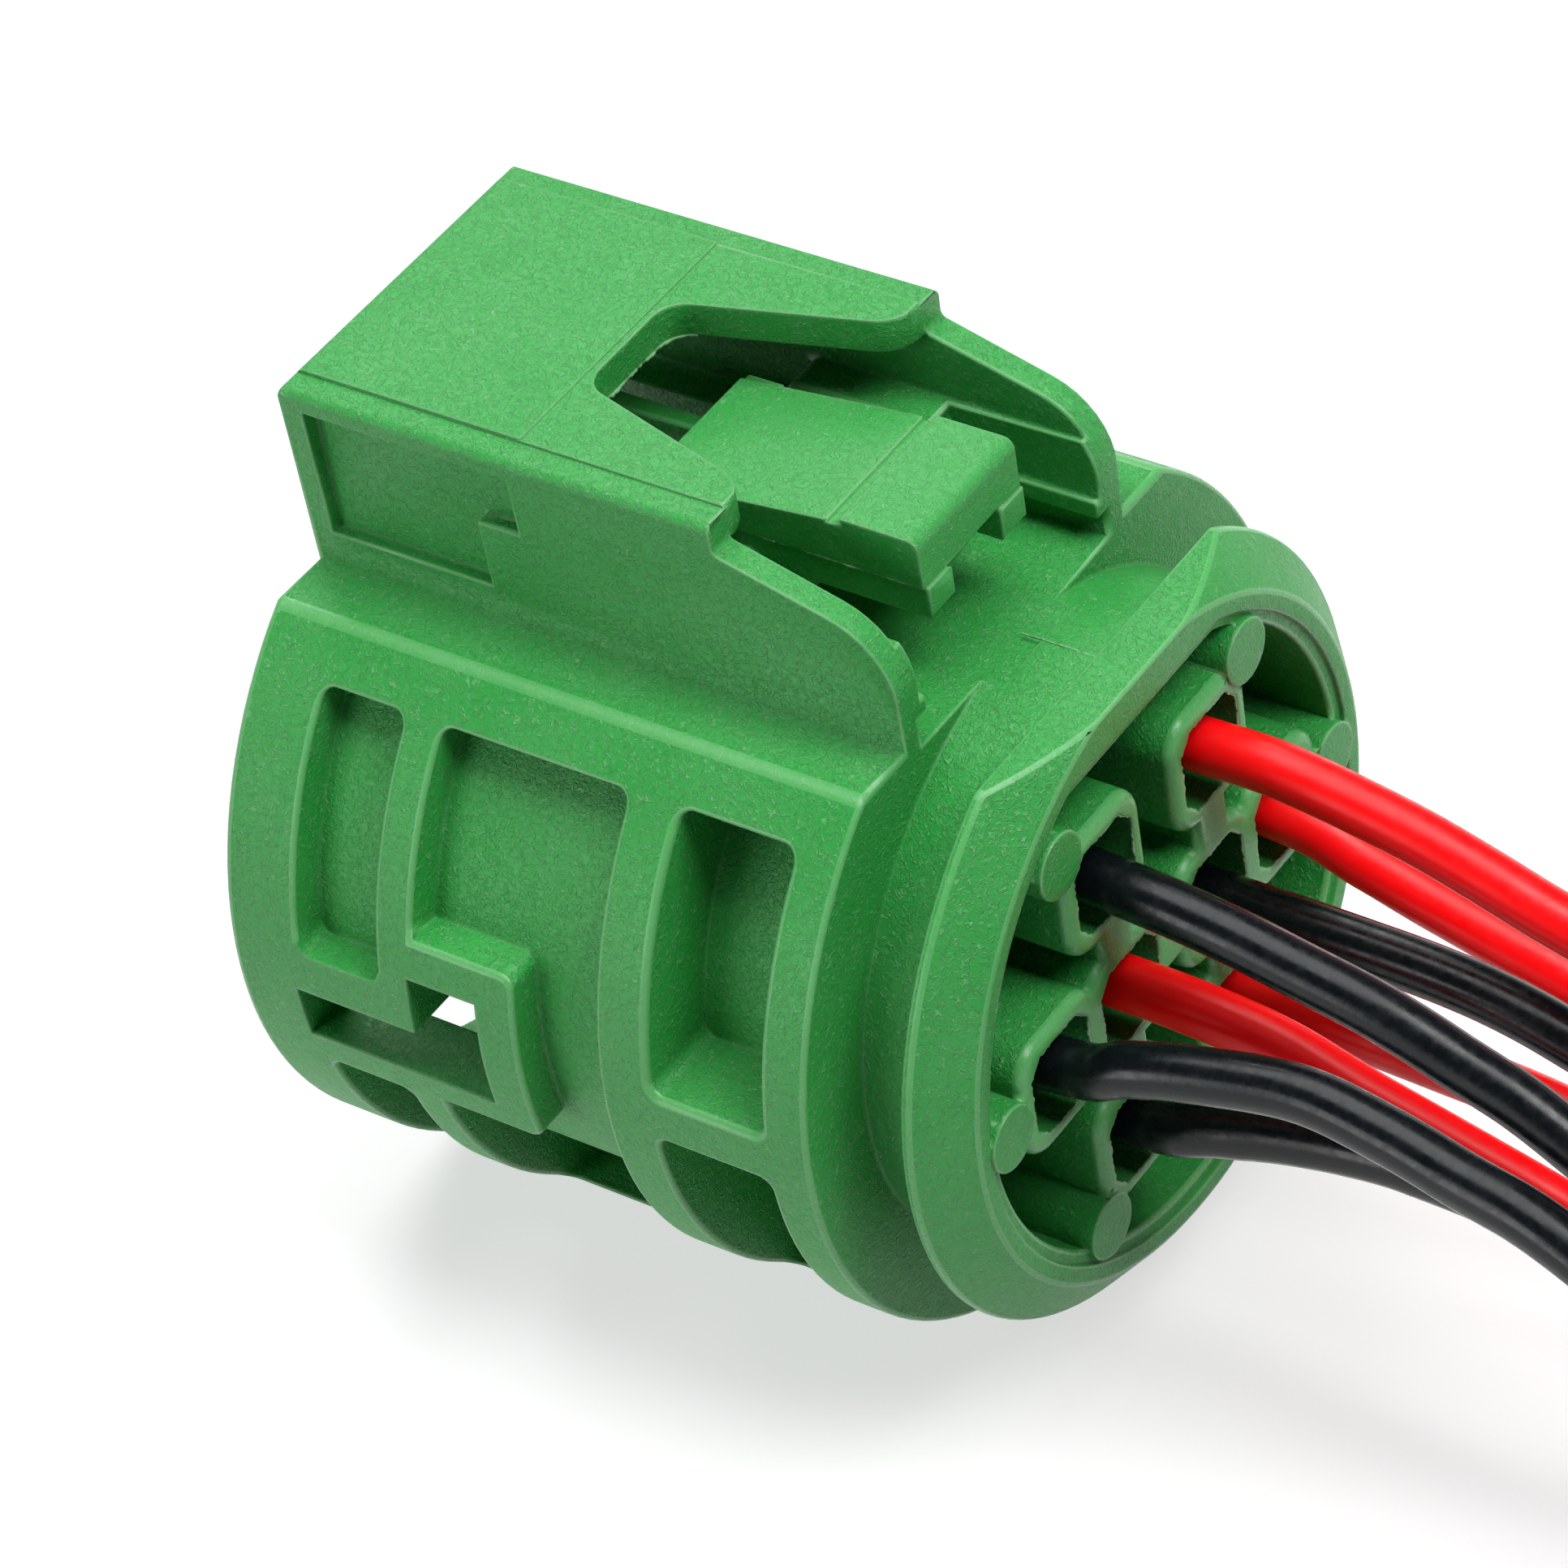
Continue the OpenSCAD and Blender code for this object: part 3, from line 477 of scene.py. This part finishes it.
def weigh_edges(bm, width, own_width):
    """Weights for the Bevel modifier on every sharp outer edge, less where another sharp edge runs close by.

    own_width gives an edge's width, 0 for one that stays sharp, and whether it holds where another is close.
    Returns the runs of edges that follow each other smoothly. Each run has one weight."""
    weight = bm.edges.layers.float.new("bevel_weight_edge")
    sharp = [e for e in bm.edges if len(e.link_faces) == 2 and e.calc_face_angle() > SHARP_ANGLE]
    room = width / EDGE_SHARE
    gap = dict.fromkeys(sharp, room)
    spots, tree = edge_spots(sharp, width * 0.6)
    for point, e in spots:
        along = heading(e)
        for near, k, distance in tree.find_range(point, room):
            # Only what runs beside the edge counts, not what turns off at its ends
            other = spots[k][1]
            if other is e or set(e.verts) & set(other.verts) and abs(along.dot(heading(other))) < 0.8:
                continue
            aside = (near - point) - (near - point).dot(along) * along
            if aside.length > max(0.8 * distance, 0.02 * MM):
                gap[e] = min(gap[e], aside.length)
    rounded = []
    for e in sharp:
        own, holds = own_width(e) if e.is_convex else (0.0, True)
        if own:
            e[weight] = (own if holds else min(own, EDGE_SHARE * gap[e])) / width
            rounded.append(e)
        else:
            e.smooth = False
    run_of = {e: {e} for e in rounded}
    for v in bm.verts:
        meeting = [e for e in v.link_edges if e in run_of]
        for i, a in enumerate(meeting):
            for b in meeting[i + 1:]:
                turn = (a.other_vert(v).co - v.co).angle(v.co - b.other_vert(v).co)
                if turn < RUN_TURN and run_of[a] is not run_of[b]:
                    run_of[a] |= run_of[b]
                    for e in run_of[b]:
                        run_of[e] = run_of[a]
    runs = list({id(run): run for run in run_of.values()}.values())
    for run in runs:
        # Narrow enough for all but the most cramped fifth of its length
        spare = 0.2 * sum(e.calc_length() for e in run)
        for e in sorted(run, key=lambda e: e[weight]):
            spare -= e.calc_length()
            if spare <= 0.0:
                share = e[weight]
                break
        for e in run:
            e[weight] = share
    return runs


def ease_rounds(piece, node, bm_runs, width):
    """Narrows the runs of edges whose rounds would turn a face over or reach off the CAD surface."""
    solid = bmesh.new()
    solid.from_mesh(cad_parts[node].data)
    surface = BVHTree.FromBMesh(solid)
    solid.free()
    spots, tree, members = bm_runs
    weights = piece.data.attributes["bevel_weight_edge"].data
    for _ in range(EASE_TRIES):
        shown = piece.evaluated_get(bpy.context.evaluated_depsgraph_get())
        mesh = shown.to_mesh()
        mesh.calc_loop_triangles()
        tight = set()
        for triangle in mesh.loop_triangles:
            corners = [mesh.vertices[k].co for k in triangle.vertices]
            middle = sum(corners, Vector()) / 3
            _, normal, _, distance = surface.find_nearest(middle)
            if triangle.area > FOLD_AREA and (distance > 0.5 * width or triangle.normal.dot(normal) < -0.2):
                for corner in corners:
                    tight |= {spots[k] for _, k, _ in tree.find_range(corner, 0.7 * width)}
        shown.to_mesh_clear()
        if not tight:
            break
        for run in tight:
            for k in members[run]:
                weights[k].value *= EASE
        piece.data.update()


def finish_moulding(name, bm, node, materials, sizes, own_width):
    """Makes the finished piece: rounded edges with the second material on them, paler with a painted
    highlight, and even shading.
    """
    width = sizes.cell_round
    runs = weigh_edges(bm, width, own_width)
    bm.edges.index_update()
    run_of = {e: i for i, run in enumerate(runs) for e in run}
    spots, tree = edge_spots(run_of, 0.2 * MM)
    bm_runs = [run_of[e] for _, e in spots], tree, [[e.index for e in run] for run in runs]
    for f in bm.faces:
        f.smooth = True
    piece = add_object(name, mesh_of(bm, name), materials)
    rounding = piece.modifiers.new("edge rounds", "BEVEL")
    rounding.limit_method = "WEIGHT"
    rounding.width = width
    rounding.segments = sizes.edge_steps
    rounding.profile = 0.5
    rounding.material = EDGE_HIGHLIGHT_SLOT
    rounding.use_clamp_overlap = False
    rounding.loop_slide = False
    ease_rounds(piece, node, bm_runs, width)
    shading = piece.modifiers.new("even shading", "WEIGHTED_NORMAL")
    shading.keep_sharp = True
    shading.weight = 60
    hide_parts(node)
    return piece


def torn_flash(bm, edges, way, reach, thickness, seed):
    """Adds thin torn flash that stands off a line of edges the given way, with a jagged free edge."""
    made = bmesh.ops.extrude_edge_only(bm, edges=edges)["geom"]
    for v in (g for g in made if isinstance(g, bmesh.types.BMVert)):
        spot = v.co / MM + Vector((seed * 7.3, 0.0, 0.0))
        # Long waves and short tears
        share = 0.4 + 0.55 * noise.noise(spot * 0.9) + 0.5 * noise.noise(spot * 5.0)
        v.co += way(v.co) * reach * min(1.2, max(0.12, share))
    strip = [g for g in made if isinstance(g, bmesh.types.BMFace)]
    bmesh.ops.recalc_face_normals(bm, faces=strip)
    bmesh.ops.solidify(bm, geom=strip, thickness=thickness)
    bmesh.ops.recalc_face_normals(bm, faces=bm.faces)


def flash_line(bm, points, way, reach, thickness, seed):
    """Adds torn flash along a line of points in millimetres, all standing off it the same way."""
    verts = [bm.verts.new(Vector(p) * MM) for p in points]
    line = [bm.edges.new(pair) for pair in zip(verts, verts[1:])]
    for e in line:
        bmesh.ops.subdivide_edges(bm, edges=[e], cuts=int(e.calc_length() / FLASH_STEP))
    loose = [e for e in bm.edges if not e.link_faces]
    torn_flash(bm, loose, lambda _: Vector(way), reach, thickness, seed)


def ragged_lip(bm, centre, sizes, seed):
    """Adds the torn flash round one cavity mouth, as a thin ring with a jagged inner edge."""
    half = sizes.cavity_width / 2 + LIP_SEAT
    cut = half - sizes.cavity_chamfer
    outline = [(half, -cut), (half, cut), (cut, half), (-cut, half),
               (-half, cut), (-half, -cut), (-cut, -half), (cut, -half)]
    corners = [bm.verts.new((REAR_X - LIP_DEPTH, centre[0] + u, centre[1] + v)) for u, v in outline]
    sides = [bm.edges.new((corners[k], corners[(k + 1) % 8])) for k in range(8)]
    # Long sides and chamfers by turns
    for first, cuts in ((0, 27), (1, 9)):
        bmesh.ops.subdivide_edges(bm, edges=sides[first::2], cuts=cuts)
    loose = [e for e in bm.edges if not e.link_faces]
    middle = Vector((0.0, *centre))
    torn_flash(bm, loose, lambda co: (middle - Vector((0.0, co.y, co.z))).normalized(),
               sizes.flash_reach, sizes.flash_thickness, seed)


class CONNECTOR_OT_stage(Operator):
    """Set up the camera, the floor and the soft studio light"""

    bl_idname = "connector.stage"
    bl_label = "Stage"

    def execute(self, context):
        _, colours, stage = settings()
        scene = context.scene
        camera = bpy.data.cameras.new("photograph camera")
        camera.sensor_width = 36.0
        camera.lens = stage.lens
        camera.clip_start = 0.01
        eye = bpy.data.objects.new("photograph camera", camera)
        scene.collection.objects.link(eye)
        turn = Matrix((CAMERA_RIGHT, CAMERA_UP, CAMERA_RIGHT.cross(CAMERA_UP))).transposed().to_4x4()
        eye.matrix_world = Matrix.Translation(CAMERA_PLACE) @ turn
        scene.camera = eye

        bm = bmesh.new()
        bmesh.ops.create_grid(bm, x_segments=1, y_segments=1, size=FLOOR_HALF)
        bmesh.ops.translate(bm, verts=bm.verts, vec=(0.0, 0.0, SURFACE_Z))
        floor = add_object("floor", mesh_of(bm, "floor"),
                           [studio_floor("white floor", colours.floor, stage.floor_glow)])

        for name, place, size, share in SOFT_BOXES:
            lamp = bpy.data.lights.new(name, "AREA")
            lamp.shape = "SQUARE"
            lamp.size = size
            lamp.energy = share * stage.lamp_radiance * math.pi * size ** 2
            box = bpy.data.objects.new(name, lamp)
            scene.collection.objects.link(box)
            aim = (Vector(place) - LIT_PLACE).to_track_quat("Z", "Y")
            box.matrix_world = Matrix.Translation(place) @ aim.to_matrix().to_4x4()

        scene.world = white_room("white room", stage.sky)
        scene.view_settings.view_transform = "Standard"
        return {"FINISHED"}


class CONNECTOR_OT_wires(Operator):
    """Lay the eight insulated wires from their crimps to the surface, with their bare strands"""

    bl_idname = "connector.wires"
    bl_label = "Wires"

    def execute(self, context):
        sizes, colours, _ = settings()
        pale_red = [min(1.0, 1.06 * c + 0.004) for c in colours.red]
        red = insulation("red insulation", colours.red, pale_red, roughness=0.34)
        pale_black = [1.9 * c for c in colours.black]
        black = insulation("black insulation", colours.black, pale_black, roughness=0.24)
        dull_copper = [0.55 * c for c in colours.copper]
        copper = metal("bare copper", colours.copper, dull_copper, roughness=0.28)
        for i, (y, z) in enumerate(CELLS):
            points = wire_points(i)
            curve = bpy.data.curves.new(f"wire_cover_{i + 1}", "CURVE")
            curve.dimensions = "3D"
            curve.bevel_depth = sizes.wire_diameter / 2
            curve.bevel_resolution = 6
            curve.resolution_u = 4
            curve.use_fill_caps = True
            spline = curve.splines.new("BEZIER")
            spline.bezier_points.add(len(points) - 1)
            for point, co in zip(spline.bezier_points, points):
                point.co = co
                point.handle_left_type = point.handle_right_type = "AUTO"
            is_red = i + 1 in RED_WIRES
            cover = add_object(f"wire_cover_{i + 1}", curve, [red if is_red else black])
            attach(cover, "plug")
            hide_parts(f"wire_{i + 1}")
            strands = add_object(f"strands_{i + 1}", mesh_of(self.strands(i, points[-1], sizes), "strands"),
                                 [copper])
            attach(strands, "plug")
            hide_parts(f"bare_end_{i + 1}")
        return {"FINISHED"}

    def strands(self, i, end, sizes):
        """Twisted strands: one in the middle, six round it and twelve outside."""
        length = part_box(f"bare_end_{i + 1}")[1][0] - end.x
        bm = bmesh.new()
        for ring, count in STRAND_RINGS:
            for k in range(count):
                angle = 2 * math.pi * (k + 0.37 * i) / count
                away = ring * sizes.strand_diameter * 1.02
                tip = length * (1.0 - 0.05 * abs(math.sin(3.1 * k + 1.7 * ring + i)))
                centre = Vector((end.x, end.y + away * math.cos(angle), end.z + away * math.sin(angle)))
                circle = bmesh.ops.create_circle(
                    bm, cap_ends=False, segments=7, radius=sizes.strand_diameter / 2,
                    matrix=Matrix.Translation(centre) @ Matrix.Rotation(math.pi / 2, 4, "Y"))
                loop = list(dict.fromkeys(e for v in circle["verts"] for e in v.link_edges))
                made = bmesh.ops.spin(bm, geom=circle["verts"] + loop, cent=end, axis=(1.0, 0.0, 0.0),
                                      angle=sizes.strand_turn, steps=STRAND_STEPS,
                                      dvec=(tip / STRAND_STEPS, 0.0, 0.0))
                last = [g for g in made["geom_last"] if isinstance(g, bmesh.types.BMVert)]
                bmesh.ops.contextual_create(bm, geom=last)
        bmesh.ops.recalc_face_normals(bm, faces=bm.faces)
        for f in bm.faces:
            f.smooth = len(f.verts) == 4
        return bm


class CONNECTOR_OT_housing(Operator):
    """Finish the moulded housing with rounded edges, cell ends paler with a painted sheen, and torn flash"""

    bl_idname = "connector.housing"
    bl_label = "Housing"

    def execute(self, context):
        sizes, colours, _ = settings()
        bm = merged_copy("housing")
        half = sizes.cavity_width / 2 + 2 * FLUSH
        places = [(y * MM, z * MM) for y, z in CELLS]

        def own_width(e):
            middle = (e.verts[0].co + e.verts[1].co) / 2
            away = math.hypot(middle.y, middle.z)
            if abs(middle.x - REAR_X) < FLUSH and away < CELLS_RADIUS:
                at_mouth = any(abs(middle.y - y) < half and abs(middle.z - z) < half for y, z in places)
                return (sizes.mouth_round, False) if at_mouth else (sizes.cell_round, True)
            x, y, z = middle.x, abs(middle.y), middle.z
            if away > WINDOW_RADIUS and abs(z) < WINDOW_Z and WINDOW_X[0] < x < WINDOW_X[1]:
                return 0.0, True
            if y > PANEL_Y and PANEL_X[0] < x < PANEL_X[1] and PANEL_Z[0] < z < PANEL_Z[1]:
                return sizes.panel_round, False
            on_sleeve = away > SLEEVE_RADIUS and max(f.normal.x for f in e.link_faces) < 0.9
            return (sizes.soft_round if on_sleeve else sizes.edge_round), False

        for f in bm.faces:
            centre = f.calc_center_median()
            at_end = f.normal.x > 0.99 and abs(centre.x - REAR_X) < FLUSH
            f.material_index = END_SHEEN_SLOT if at_end and math.hypot(centre.y, centre.z) < CELLS_RADIUS else 0
        green, pale_green = colours.green, colours.pale_green
        plastic = moulded_plastic("green plastic", green, pale_green,
                                  grain_depth=0.075 * MM, fibre_share=0.28, pale_tone_and_highlight=0.0)
        # The rounded edges' paler colour is a painted highlight
        highlit = moulded_plastic("green plastic edges", green, pale_green,
                               grain_depth=0.008 * MM, fibre_share=0.1, pale_tone_and_highlight=0.24, roughness=0.3)
        # The cell ends get the paler end green as a painted sheen
        dull = moulded_plastic("cell ends with painted sheen", colours.end_green, pale_green,
                               grain_depth=0.02 * MM, fibre_share=0.2, pale_tone_and_highlight=0.0)
        housing = finish_moulding("moulded_housing", bm, "housing", [plastic, highlit, dull], sizes, own_width)
        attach(housing, "plug")
        bm = bmesh.new()
        for k, place in enumerate(places):
            ragged_lip(bm, place, sizes, k)
        flash_line(bm, NOTCH_LINE, way=(0.85, -0.5, 0.0), reach=1.6 * sizes.flash_reach,
                   thickness=sizes.flash_thickness, seed=11)
        flash_line(bm, NECK_LINE, way=(0.0, 0.0, 1.0), reach=0.7 * sizes.flash_reach,
                   thickness=sizes.flash_thickness, seed=12)
        # The flash's pale colour is a painted highlight, for the light on and through the thin flash
        pale = moulded_plastic("pale flash", green, pale_green,
                               grain_depth=0.008 * MM, fibre_share=0.15, pale_tone_and_highlight=0.95)
        flash = add_object("moulding_flash", mesh_of(bm, "moulding_flash"), [pale])
        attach(flash, "plug")
        return {"FINISHED"}


class CONNECTOR_OT_lever(Operator):
    """Finish the latch lever with rounded edges and torn flash along its flanks"""

    bl_idname = "connector.lever"
    bl_label = "Latch lever"

    def execute(self, context):
        sizes, colours, _ = settings()
        bm = merged_copy("latch_lever")
        green, pale_green = colours.green, colours.pale_green
        plastic = moulded_plastic("lever plastic", green, pale_green,
                                  grain_depth=0.05 * MM, fibre_share=0.24, pale_tone_and_highlight=0.03)
        # The lever's rounded edges are paler as a painted highlight
        highlit = moulded_plastic("lever plastic edges", green, pale_green,
                               grain_depth=0.008 * MM, fibre_share=0.1, pale_tone_and_highlight=0.26, roughness=0.3)
        lever = finish_moulding("moulded_lever", bm, "latch_lever", [plastic, highlit], sizes,
                                lambda e: (sizes.edge_round, False))
        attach(lever, "lever")
        bm = bmesh.new()
        for side in (-1.0, 1.0):
            flash_line(bm, [(x, y * side, z) for x, y, z in LEVER_LINE], way=(0.0, side, 0.0),
                       reach=0.7 * sizes.flash_reach, thickness=0.8 * sizes.flash_thickness, seed=13 + side)
        # The lever flash's pale colour is a painted highlight along the lever's flank
        pale = moulded_plastic("pale lever flash", green, pale_green,
                               grain_depth=0.008 * MM, fibre_share=0.15, pale_tone_and_highlight=0.86)
        flash = add_object("lever_flash", mesh_of(bm, "lever_flash"), [pale])
        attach(flash, "lever")
        return {"FINISHED"}


class CONNECTOR_OT_contacts(Operator):
    """Give the stamped contacts their tinned finish"""

    bl_idname = "connector.contacts"
    bl_label = "Contacts"

    def execute(self, context):
        _, colours, _ = settings()
        dull_tin = [0.5 * c for c in colours.tin]
        tin = metal("tinned contact", colours.tin, dull_tin, roughness=0.3)
        for i in range(len(CELLS)):
            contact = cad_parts[f"contact_{i + 1}"]
            contact.data.materials.clear()
            contact.data.materials.append(tin)
        return {"FINISHED"}


PIECES = (CONNECTOR_OT_stage, CONNECTOR_OT_wires, CONNECTOR_OT_housing, CONNECTOR_OT_lever,
          CONNECTOR_OT_contacts)


class CONNECTOR_PT_pieces(Panel):
    """The connector's pieces and their settings"""

    bl_idname = "CONNECTOR_PT_pieces"
    bl_label = "Headlight connector"
    bl_space_type = "VIEW_3D"
    bl_region_type = "UI"
    bl_category = "Connector"

    def draw(self, context):
        layout = self.layout
        for group in settings():
            box = layout.box()
            for key in group.__annotations__:
                box.prop(group, key)
        for piece in PIECES:
            layout.operator(piece.bl_idname)


GROUPS = (ConnectorSizes, ConnectorColours, ConnectorStage)


def register():
    for made in (*GROUPS, *PIECES, CONNECTOR_PT_pieces):
        bpy.utils.register_class(made)
    bpy.types.Scene.connector_sizes = PointerProperty(type=ConnectorSizes)
    bpy.types.Scene.connector_colours = PointerProperty(type=ConnectorColours)
    bpy.types.Scene.connector_stage = PointerProperty(type=ConnectorStage)


def unregister():
    del bpy.types.Scene.connector_stage
    del bpy.types.Scene.connector_colours
    del bpy.types.Scene.connector_sizes
    for made in reversed((*GROUPS, *PIECES, CONNECTOR_PT_pieces)):
        bpy.utils.unregister_class(made)


def main():
    register()
    bpy.ops.connector.stage()
    bpy.ops.connector.wires()
    bpy.ops.connector.housing()
    bpy.ops.connector.lever()
    bpy.ops.connector.contacts()


if __name__ == "__main__":
    main()
